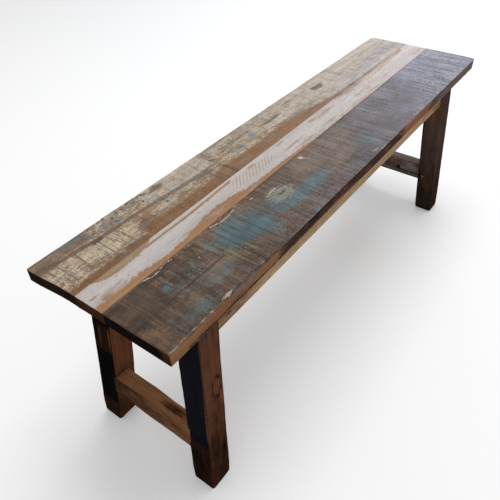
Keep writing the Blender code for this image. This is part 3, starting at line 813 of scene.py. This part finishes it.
def build_front_board(step):
    node = "seat_board_front"
    board = Timber(
        "seat_board_front_worn", 0, *board_ends(node, 0, 1), step, (round(0.13 / step), 7, 26, 5),
        worn(0.0015, 13, wave=0.05, amount=0.45, chips=0.001, wane=front_wane, crisp=(0, 3)),
        (0.0018, 0.0022), 5, {(-1, 0): NEAR_RADIUS, (-1, 1): FAR_FRONT_RADIUS}).build()
    x, y, z = 1000 * board.points().T
    up = board.normals()[:, 2]
    out = -board.normals()[:, 1]
    top = fade(up, 0.35, 0.75)
    face = fade(out, 0.25, 0.6) * (y < -120) * (1 - top)
    dark = most(
        0.85 * trace(x, y, [(-600, -83), (-500, -83.5), (-400, -86.5)], 4.5),
        spots(x, y, [
            (-427.5, -56, 14, 14, 0.75), (-590, -30, 20, 8, 0.6), (-540, -115, 30, 20, 0.5),
            (160, -45, 20, 5, 0.5), (-205, -66.5, 14, 3, 0.6), (-580, -70, 30, 10, 0.5),
            (-480, -45, 50, 10, 0.45), (-555, -85, 40, 30, 0.55)]),
        0.6 * trace(x, y, [(530, -43), (530, -73)], 8))
    board.masks(top, {
        "ruled": 0.28 + 0.4 * fade(x, -480, -330) + 0.32 * fade(x, -100, 200),
        "pale": most(
            0.56 * band(x, -450, 100, 60) * band(y, -120, -12, 20),
            spots(x, y, [
                (-90, -60, 100, 35, 0.72), (-420, -100, 50, 20, 0.78), (-300, -120, 100, 20, 0.5),
                (-550, -100, 50, 20, 0.35), (-490, -45, 50, 12, 0.55)]), 0.12 + 0.2 * fade(x, -500, -400)),
        "plum": most(
            (0.4 + 0.22 * fade(x, -120, 60)) * fade(x, -380, -250) * (1 - fade(y, -125, -105)),
            0.85 * fade(x - 0.8 * y, 14, 214)),
        # Blue-grey paint that rises towards the far end, and partly a painted sheen.
        "haze": 0.12 * fade(x, 0, 250) + 0.12 * spots(x, y, [(300, -140, 120, 20, 1)])
            + 0.44 * fade(x, 200, 480),
        "rust": most(
            spots(x, y, [
                (-542.5, -96, 9, 12, 0.7), (-592.5, -98.5, 9, 12, 0.7), (-500, -108.5, 14, 6, 0.75),
                (-590, -131, 12, 10, 0.7), (-262, -85, 14, 35, 0.62), (-50, -38, 25, 10, 0.62),
                (-350, -108, 50, 12, 0.55), (185, -84, 15, 3, 0.8), (-430, -110, 50, 12, 0.75),
                (-270, -32, 10, 1.5, 0.85), (-400, -40, 40, 10, 0.5), (-580, -50, 20, 20, 0.4)]),
            0.36 * band(x, -600, -200, 20) * band(y, -150, -90, 20), 0.15),
        "mint": spots(x, y, [
            (-440, -111, 30, 7, 0.66), (-500, -130, 35, 11, 0.62), (-470, -101, 8, 8, 0.62),
            (-420, -110, 10, 8, 0.66), (-380, -56, 8, 4, 0.7), (-330, -36, 50, 6, 0.5),
            (-510, -61, 14, 10, 0.7), (-430, -108, 40, 14, 0.5), (-520, -128, 40, 16, 0.5),
            (-470, -70, 40, 20, 0.4), (-460, -95, 30, 12, 0.5)]),
        "teal": most(
            spots(x, y, [
                (-510, -61, 8, 6, 0.6), (-345, -75, 55, 30, 0.98), (-363, -80, 22, 20, 1),
                (-301, -85, 30, 30, 1), (-340, -48, 60, 14, 0.66), (-250, -82, 50, 26, 0.66),
                (-300, -60, 50, 20, 0.6), (-187.5, -93.5, 22, 14, 1), (-290, -115, 50, 20, 0.42),
                (-145, -95, 60, 17, 0.88), (-225, -96, 30, 14, 0.85), (55, -105, 34, 22, 0.62),
                (-420, -108, 20, 10, 0.42), (-55, -51, 14, 7, 0.56), (200, -100, 50, 20, 0.28)]),
            0.12 * fade(x, -500, -380)),
        "moss": spots(x, y, [(-385, -95, 20, 22, 0.52), (-355, -104, 25, 12, 0.52)]),
        "oval": spots(x, y, [(-210, -67, 34, 20, 1)]) * (0.9 - 0.5 * spots(x, y, [(-205, -66.5, 18, 4, 1)])),
        "dark": dark,
        "white": most(
            0.28 * band(x, -570, -270, 20) * (1 - fade(-y, 22, 26)),
            spots(x, y, [
                (-460, -22.5, 8, 1.6, 0.62), (-417.5, -22.5, 6, 2, 0.6), (-255, -32, 8, 1.5, 0.6),
                (-427.5, -57, 3, 2, 0.9), (-565, -147, 7, 2.2, 0.66), (-545, -147, 6, 2.2, 0.72),
                (-527, -147.5, 8, 2, 0.72), (-505, -147.5, 6, 2, 0.6), (-467.5, -145, 12, 3.4, 0.9),
                (-380, -147, 7, 1.6, 0.52), (-590, -149, 10, 1.6, 0.72), (29, -142, 9, 3, 0.7),
                (220, -148, 12, 2, 0.5), (400, -149, 20, 2, 0.5), (-83, -32, 5, 4.5, 1),
                (-494, -26.5, 6, 2, 0.66)])),
        "line": thin(x, y, [
            [(-520, -21.5), (-512, -22.5), (-503, -27.5), (-487, -25.5), (-475, -21.5), (-458, -22)],
            [(-361, -22.5), (-335, -29), (-315, -28.5), (-292.5, -24)], [(-260, -33), (-250, -31)],
            [(-87.5, -26), (-83, -34), (-75, -46)], [(-236, -54), (-222, -49.5), (-200, -49)]]),
    })
    level = (z - BOARD_LOW) / BOARD_THICKNESS
    edge = top * (1 - fade(y, -150, -145)) * (1 - fade(x, -400, -340))
    wedge = np.interp(x, [
        -360, -340, -300, -270, -200, -50, 110, 150], [0.0, 0.25, 0.7, 1.0, 1.1, 1.1, 1.1, 0.0])
    lower = 0.16 + 0.14 * lattice(board.local, (0.05, 9.0, 9.0), 12)
    board.masks(1, {
        # The rounded front top edge: a rubbed pale line, and partly a painted highlight.
        "rubbed_edge_and_highlight": (y < -150.5) * fade(up, 0.3, 0.7) * (0.75 * band(x, -340, 220, 30) + 0.3 * fade(x, 200, 300)),
        "tan": most(0.72 * edge, face) * most(
            band(x, -620, -460, 30), 0.78 * band(x, -500, -330, 30), edge,
            0.62 * band(x, -300, -50, 30) * (1 - fade(level, 0.1, 0.4)), 0.3),
        "red": face * most(
            spots(x, level, [(-490, 0.4, 55, 0.5, 0.66), (-20, 0.25, 50, 0.2, 0.6)]),
            0.95 * band(x, 135, 300, 35), 0.5 * band(x, -180, 170, 20)),
        "taupe": face * 0.9 * band(x, 320, 660, 35)
            + (1 - fade(y, -150, -140)) * 0.62 * band(x, -465, -380, 30) * fade(level, 0.25, 0.7),
        "black": face * most(
            fade(wedge - level, -0.05, 0.15) * (0.35 + 0.65 * fade(level, lower - 0.08, lower + 0.08))
                * np.interp(x, [-270, -150, -50, 20], [1.05, 0.62, 0.66, 0.75]) * (1 - 0.6 * spots(x, level, [
                (-265, 0.62, 30, 0.2, 1), (-200, 0.5, 20, 0.2, 0.9), (-130, 0.6, 30, 0.2, 0.8),
                (-30, 0.4, 30, 0.25, 0.9), (60, 0.5, 20, 0.2, 0.8)])),
            # A dark line low on the face: painted shadow of the gap above the apron.
            trace(x, level * BOARD_THICKNESS, [(-560, 3.5), (-500, 4), (-420, 2.5), (-350, 2)], 4),
            0.62 * trace(x, level * BOARD_THICKNESS, [(-525, 1), (-460, 4), (-385, 1)], 11),
            spots(x, level, [(350, 0.55, 35, 0.5, 0.5)])),
        "under": (1 - top) * (1 - face),
        "warm_end": fade(-board.normals()[:, 0], 0.4, 0.8) * (1 - fade(y, -138, -130)) * (x < 0),
    })
    free = 1 - fade(board.normals()[:, 1], 0.2, 0.6)
    hacked = face * (1 - fade(x, -200, 100)) * (0.5 + 0.5 * lattice(board.local, (0.03, 1, 0.006), 10))
    uneven = 0.0002 * lattice(board.local, UNEVEN, 9)
    board.push(-free * (WEAR + uneven + 0.0007 * top * dark + 0.0008 * hacked))
    return board.finish(
        dark_board("dark_top", 0.26, True), node, "dark_painted_board", dark_board("dark_sides", 0.0, False))


# ---------------------------------------------------------------- legs and low stretchers
def leg_material(name, brown, brown_mid, brown_dark, paint):
    g = Wood(name, specular=0.0)
    colour = g.timber(brown, brown_mid, brown_dark, pith=(0.01, -0.045), spacing=0.007)
    colour = g.coats(colour, [
        ("dim", (38, 24, 18), (16, 11, 9), "along", 0.12, 0.42, 0.94, 0.08, 0.12),
        ("rust", (122, 78, 46), (88, 56, 34), "chip", 0.25, 0.25, 0.85, 0.2)])
    light = tone(*paint)
    colour = g.coat(
        colour, "paint", light, tuple(0.7 * c for c in light), "chip", 0.22, 0.16, 0.97, raised=0.3,
        gloss=0.42, flaky=0.2)
    colour = g.coats(colour, [
        ("smudge", (58, 61, 74), (36, 37, 44), "along", 0.4, 0.25, 0.75),
        ("black", (19, 14, 12), (8, 6, 6), "along", 0.25, 0.25, 0.95, 0.2)])
    colour = g.weather(colour, 0.24)
    colour = g.coat(colour, "end", tone(40, 28, 20), tone(24, 17, 13), "chip", 0.15, 0.2, 0.95)
    return g.done(colour)


def knot(x, y, cx, cy, rx, ry):
    """A soft dark ring: the rim of a knot."""
    reach = np.hypot((x - cx) / rx, (y - cy) / ry)
    return np.clip(1.2 - np.abs(reach - 1) * 2.2, 0, 1)


def foot_wear(corner, along):
    """Feet are more rounded than the rest of the leg."""
    soft = 1 - fade(along, 0.0, 0.035)
    return (0.0025 * soft, 0.0025 * soft)


def build_leg(end, side, seed, foot, tones, paint, masks):
    """foot is the radius under the leg, and masks() gets the height, the place and the four sides."""
    node = f"leg_{end}_{side}"
    leg = Timber(f"{node}_worn", 2, end_box(node, 2, False), end_box(node, 2, True), LEG_STEP,
                 (12, 12, 12, 12), worn(0.0032, seed, wave=0.06, amount=0.4, wane=foot_wear),
                 (foot, 0.003), seed).build()
    z = 1000 * leg.points()[:, 2]
    across, depth = 1000 * leg.local.T[1:]
    normals = leg.normals()
    sides = [fade(sign * normals[:, axis], 0.45, 0.8) for axis in (0, 1) for sign in (-1, 1)]
    leg.masks(1, {"dim": 0.25, **BARE, **masks(z, across, depth, *sides)})
    leg.push(-WEAR - 0.0004 * lattice(leg.local, (0.06, 0.03, 0.03), seed))
    return leg.finish(leg_material(f"leg_wood_{end}_{side}", *tones, paint), node, "painted_leg")


def left_front(z, across, depth, west, east, south, north):
    """Blue-black paint outside, brown front with a round knot."""
    return {
        "paint": west * 0.95 * (1 - 0.6 * fade(-depth, 21, 24) * (1 - fade(z, 200, 320))) * fade(z, 112, 136),
        "smudge": south * spots(across, z, [(-10, 402, 10, 18, 0.85)]),
        "dim": most(
            west * 0.9 * (1 - fade(z, 140, 160)), south * (0.3 + 0.45 * (1 - fade(z, 40, 300))),
            south * 0.72 * knot(across, z, 7, 260, 11, 24) * (0.85 + 0.25 * np.sin(0.26 * z + 0.3 * across)),
            south * spots(across, z, [(5, 258, 18, 40, 0.45)]), south * 0.6 * fade(-across, 15, 24),
            0.3 * east, 0.4 * north),
        "rust": south * spots(across, z, [(8, 262, 9, 17, 0.95)]),
        "black": most(
            south * spots(across, z, [(12, 80, 8, 26, 0.68), (4, 236, 8, 8, 0.5), (-3, 265, 4, 16, 0.5)]),
            west * 0.42 * (1 - fade(z, 80, 130))),
    }


def left_back(z, across, depth, west, east, south, north):
    """Black paint outside, worn through in two places."""
    return {
        "paint": west * most(
            0.95 * band(z, 60, 215, 15), 0.85 * fade(z, 260, 300),
            0.62 * fade(z, 220, 280) * fade(depth, 0, 15)),
        "black": west * most(
            0.45 * band(z, 70, 200, 10) * (1 - spots(depth, z, [(-12, 100, 12, 50, 1)])),
            spots(depth, z, [(0, 330, 20, 30, 0.6), (12, 270, 6, 50, 0.5)])),
        "dim": most(west * 1.1, 0.5 * north, south * 0.62 * (1 - fade(z, 60, 140))),
        "rust": west
            * spots(depth, z, [(-18, 110, 8, 45, 0.62), (-20, 265, 3, 50, 0.62), (6, 250, 6, 40, 0.42)]),
    }


def right_front(z, across, depth, west, east, south, north):
    """Bare grey-brown wood, darker towards the foot."""
    return {
        "dim": most(
            west * (0.14 * (1 - fade(z, 340, 410)) + 0.62 * (1 - fade(z, 0, 380))),
            south * (0.26 + 0.4 * (1 - fade(z, 20, 300))), 0.4 * east),
        "black": west * spots(depth, z, [(23, 300, 4, 90, 0.7), (22, 120, 4, 30, 0.7)]),
        "rust": west * 0.4 * fade(z, 200, 350),
        "paint": south * spots(across, z, [(16, 350, 6, 100, 0.35)]),
    }


def right_back(z, across, depth, west, east, south, north):
    """Hidden in the photo: as the others, with paint outside."""
    return {
        "dim": 0.45,
        "paint": east * 0.8 * fade(z, 160, 220),
        "black": east * 0.6 * (1 - fade(z, 20, 100)),
    }


def build_legs():
    brown = ((118, 78, 56), (92, 60, 43), (58, 36, 26))
    orange = ((112, 72, 46), (94, 58, 38), (60, 36, 25))
    grey = ((84, 66, 58), (70, 53, 47), (46, 33, 29))
    build_leg("left", "front", 21, 0.003, brown, (18, 22, 30), left_front)
    build_leg("left", "back", 22, 0.007, orange, (15, 15, 16), left_back)
    build_leg("right", "front", 23, 0.006, grey, (28, 29, 38), right_front)
    build_leg("right", "back", 24, 0.006, orange, (24, 25, 33), right_back)


def stretcher_wane(corner, along):
    """The bark edge on the inner top edge of the left stretcher."""
    if corner == 0:
        size = 0.010 * spots(np.array([along]), np.zeros(1), [(0.042, 0.0, 0.045, 1.0, 1.0)])[0]
        return (size * 0.7, size)
    return (0.0, 0.0)


def build_stretcher(end, seed, tones, wane, masks):
    """The bar between the two legs of one end. It leans with them, so its section is a parallelogram."""
    node = f"low_stretcher_{end}"
    low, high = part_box(node)
    points = np.array([v.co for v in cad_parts[node].data.vertices])
    middle = np.abs(points[:, 1]) < STRETCHER_MIDDLE
    if not middle.any():
        middle = np.ones(len(points), bool)
    upper = points[middle & (points[:, 2] > high.z - EDGE_SLICE)][:, 0]
    lower = points[middle & (points[:, 2] < low.z + EDGE_SLICE)][:, 0]
    half = (upper.max() - upper.min()) / 2
    lean = ((upper.max() + upper.min()) - (lower.max() + lower.min())) / 2 / (high.z - low.z)
    centre = (points[:, 0].max() + points[:, 0].min()) / 2
    reach = STRETCHER_REACH + INTO_LEG
    first = ((centre - half, -reach, low.z), (centre + half, -reach, high.z))
    last = ((centre - half, reach, low.z), (centre + half, reach, high.z))
    bar = Timber(f"{node}_worn", 1, first, last, STRETCHER_STEP, (8, 12, 8, 12),
                 worn(0.0022, seed, wave=0.05, amount=0.4, wane=wane), (0.001, 0.001), seed).build()
    bar.move(np.outer(lean * (bar.points()[:, 2] - (low.z + high.z) / 2), (1, 0, 0)))
    normals = bar.normals()
    top = fade(normals[:, 2], 0.4, 0.8)
    west = fade(-normals[:, 0], 0.4, 0.8)
    made = {"dim": 0.2, **BARE, **masks(1000 * bar.points(), top, west)}
    bar.masks(1, made)
    bar.push(-0.0002 - WEAR * lattice(bar.local, UNEVEN, seed) - 0.0015 * made["black"])
    return bar.finish(leg_material(f"stretcher_wood_{end}", *tones, (40, 36, 36)), node, "brown_timber")


def left_stretcher(points, top, west):
    x, y, z = points.T
    return {
        "black": most(
            top * 0.52 * trace(x, y, [(-536.5, -72), (-537.5, -46), (-535, -17)], 3.5),
            west * 0.6 * fade(y, 0, 90) * (1 - fade(z, 96, 106))),
        "dim": most(
            0.06 * top, west * (0.56 + 0.15 * fade(y, -50, 50)), 0.5 * (1 - top) * (1 - west),
            top * 0.68 * spots(x, y, [(-533, -46, 8, 29, 1)]), top * 0.8 * fade(y, 86, 98)),
        "rust": west * 0.12,
    }


def right_stretcher(points, top, west):
    y, z = points.T[1:]
    return {
        "dim": most(west * 0.64, 0.4 * (1 - top)),
        "black": west * spots(y, z, [(-25, 117, 10, 8, 0.8), (-50, 110, 30, 4, 0.5)]),
    }


def build_stretchers():
    warm = ((164, 117, 82), (140, 97, 68), (96, 64, 44))
    dull = ((160, 144, 138), (138, 120, 114), (90, 72, 64))
    build_stretcher("left", 31, warm, stretcher_wane, left_stretcher)
    build_stretcher("right", 32, dull, None, right_stretcher)


# ---------------------------------------------------------------- CAD pieces that keep their shape
def rail_material(name, along, light, mid, dark):
    g = Wood(name, along=along)
    colour = g.timber(light, mid, dark, pith=(0.11, -0.35), spacing=0.006)
    near_leg = g.step(g.math("ABSOLUTE", g.parts(g.place())[0]), 0.22, 0.50, -0.55, 0.50)
    stain = g.add(near_leg, g.times(g.broad, 0.3), g.times(g.blot, 0.35), g.times(g.edges["along"], 0.35))
    colour = g.mix(g.step(stain, -0.2, 0.5, 0.0, 0.8), colour, tone(112, 80, 56))
    deep = g.step(g.add(stain, g.times(g.edges["chip"], 0.3)), 0.45, 0.75, 0.0, 0.85)
    colour = g.mix(deep, colour, tone(56, 40, 30))
    cracks = g.step(g.streaks(60, 9, 2), 1.05, 1.3, 0.0, 0.85)
    colour = g.mix(cracks, colour, tone(40, 29, 22))
    g.carve(cracks, 0.8)
    streak = g.streaks(70, 380, 4, 0.7)
    colour = g.scale(g.saw_marks(colour, 0.22, 0.3), g.step(streak, -1.0, 1.0, 0.76, 1.20))
    return g.done(g.weather(colour, 0.26))


def peg_material():
    g = Wood("peg_wood", along=0)
    colour = g.timber((128, 92, 62), (104, 72, 48), (66, 44, 30), pith=(0.0, 0.0), spacing=0.0015)
    return g.done(colour, 0.0003)


def steel_material():
    g = Graph("screw_steel_worn", along=0)
    blotch = g.streaks(300, 300, 4)
    rust = g.step(g.streaks(700, 700, 4), 0.3, 1.1)
    colour = g.mix(g.step(blotch, -1, 1), tone(120, 118, 114), tone(150, 148, 144))
    colour = g.mix(rust, colour, tone(96, 62, 44))
    g.shader.inputs["Metallic"].default_value = 0.85
    return g.finish(colour, g.step(rust, 0, 1, 0.35, 0.8), g.add(blotch, rust), 0.0001)


def dress_cad():
    """Better materials in the slots of the CAD nodes that stay."""
    tan = ((184, 154, 120), (160, 131, 100), (116, 89, 65))
    along_bench = rail_material("tan_rail_long", 0, *tan)
    across_bench = rail_material("tan_rail_short", 1, *tan)
    pegs = peg_material()
    steel = steel_material()
    kinds = (("apron", along_bench), ("end_rail", across_bench), ("seat_bearer", across_bench),
             ("peg", pegs), ("seat_tongue", along_bench), ("screw", steel))
    for name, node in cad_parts.items():
        for start, material in kinds:
            if name.startswith(start):
                node.data.materials[0] = material


# ---------------------------------------------------------------- floor, light and camera
def build_floor():
    mesh = bpy.data.meshes.new("floor")
    corners = [(x * FLOOR_HALF, y * FLOOR_HALF, 0) for x, y in ((-1, -1), (1, -1), (1, 1), (-1, 1))]
    mesh.from_pydata(corners, [], [(0, 1, 2, 3)])
    floor = add_object("floor", mesh)
    material = bpy.data.materials.new("floor")
    material.use_nodes = True
    shader = material.node_tree.nodes["Principled BSDF"]
    shader.inputs["Base Color"].default_value = (0.82, 0.82, 0.82, 1)
    shader.inputs["Emission Color"].default_value = (1.0, 1.0, 1.0, 1)
    shader.inputs["Emission Strength"].default_value = FLOOR_GLOW
    shader.inputs["Roughness"].default_value = 0.9
    mesh.materials.append(material)


def soft_light(name, at, towards, size, power, colour=(1.0, 1.0, 1.0)):
    light = bpy.data.lights.new(name, "AREA")
    light.shape = "RECTANGLE"
    light.size, light.size_y = size
    light.energy = power
    light.color = colour
    lamp = add_object(name, light)
    lamp.location = at
    lamp.rotation_euler = (Vector(towards) - Vector(at)).to_track_quat("-Z", "Y").to_euler()


def build_lights():
    world = bpy.data.worlds.new("studio")
    world.use_nodes = True
    background = world.node_tree.nodes["Background"]
    background.inputs["Color"].default_value = (1.0, 1.0, 1.0, 1)
    background.inputs["Strength"].default_value = WORLD_STRENGTH
    bpy.context.scene.world = world
    soft_light("overhead", (0.6, 0.1, 3.4), (0.1, 0.0, 0.4), (2.0, 1.6), 52)
    soft_light("far_panel", (3.6, 0.8, 1.32), (0.4, 0.0, 0.45), (2.4, 0.8), 26, (0.80, 0.88, 1.0))


def build_camera():
    camera = bpy.data.cameras.new("camera")
    camera.lens = CAMERA_LENS
    camera.sensor_width = CAMERA_SENSOR
    holder = add_object("camera", camera)
    turn = Matrix.Rotation(math.radians(CAMERA_AZIMUTH), 4, "Z")
    tilt = Matrix.Rotation(math.radians(90 - CAMERA_ELEVATION), 4, "X")
    roll = Matrix.Rotation(math.radians(CAMERA_ROLL), 4, "Z")
    holder.matrix_world = Matrix.Translation(CAMERA_AT) @ turn @ tilt @ roll
    bpy.context.scene.camera = holder
    bpy.context.scene.view_settings.view_transform = "Standard"


step = BOARD_STEP
build_camera()
build_lights()
build_floor()
build_back_board(step)
build_middle_board(step)
build_front_board(step)
build_legs()
build_stretchers()
dress_cad()
